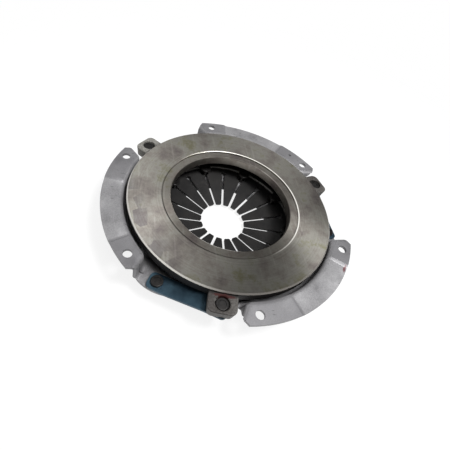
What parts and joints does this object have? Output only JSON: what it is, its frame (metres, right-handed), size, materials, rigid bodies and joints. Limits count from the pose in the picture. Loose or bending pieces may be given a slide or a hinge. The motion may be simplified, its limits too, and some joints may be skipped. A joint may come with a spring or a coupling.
{
  "type": "clutch pressure plate",
  "caption": "Diaphragm clutch cover with a cast pressure plate held by leaf straps, a slotted conical spring and a bolt-on flange.",
  "frame": {"origin": "centre of the bolt circle, on the flange face that seats on the flywheel", "axes": "+Z along the clutch axis towards the flywheel; -Y through the middle of the window with drive strap 1; +X to its right, by the right-hand rule"},
  "size_m": [0.254, 0.2451, 0.0426],
  "materials": {
    "cover_steel": "matte",
    "cast_iron": "turned",
    "diaphragm_steel": "satin",
    "wire_steel": "satin",
    "rivet_steel": "satin",
    "strap_steel": "blued"
  },
  "bodies": {
    "cover": {"cover": "cover_steel", "diaphragm_spring": "diaphragm_steel", "fulcrum_ring_upper": "wire_steel", "fulcrum_ring_lower": "wire_steel", "fulcrum_rivets": "rivet_steel", "drive_strap_1_leaf_1": "strap_steel", "drive_strap_1_leaf_2": "strap_steel", "drive_strap_1_leaf_3": "strap_steel", "drive_strap_2_leaf_1": "strap_steel", "drive_strap_2_leaf_2": "strap_steel", "drive_strap_2_leaf_3": "strap_steel", "drive_strap_3_leaf_1": "strap_steel", "drive_strap_3_leaf_2": "strap_steel", "drive_strap_3_leaf_3": "strap_steel", "cover_strap_rivet_1": "rivet_steel", "cover_strap_rivet_2": "rivet_steel", "cover_strap_rivet_3": "rivet_steel"},
    "pressure_plate": {"pressure_plate": "cast_iron", "plate_strap_rivet_1": "rivet_steel", "plate_strap_rivet_2": "rivet_steel", "plate_strap_rivet_3": "rivet_steel"}
  },
  "joints": [
    {"name": "plate_lift", "type": "slide", "parent": "cover", "child": "pressure_plate", "axis": [0, 0, 1], "range_m": [-0.004, 0], "stiffness_N_per_m": 200000, "springref_m": 0.0005, "deforming": ["diaphragm_spring", "drive_strap_1_leaf_1", "drive_strap_1_leaf_2", "drive_strap_1_leaf_3", "drive_strap_2_leaf_1", "drive_strap_2_leaf_2", "drive_strap_2_leaf_3", "drive_strap_3_leaf_1", "drive_strap_3_leaf_2", "drive_strap_3_leaf_3"]}
  ]
}
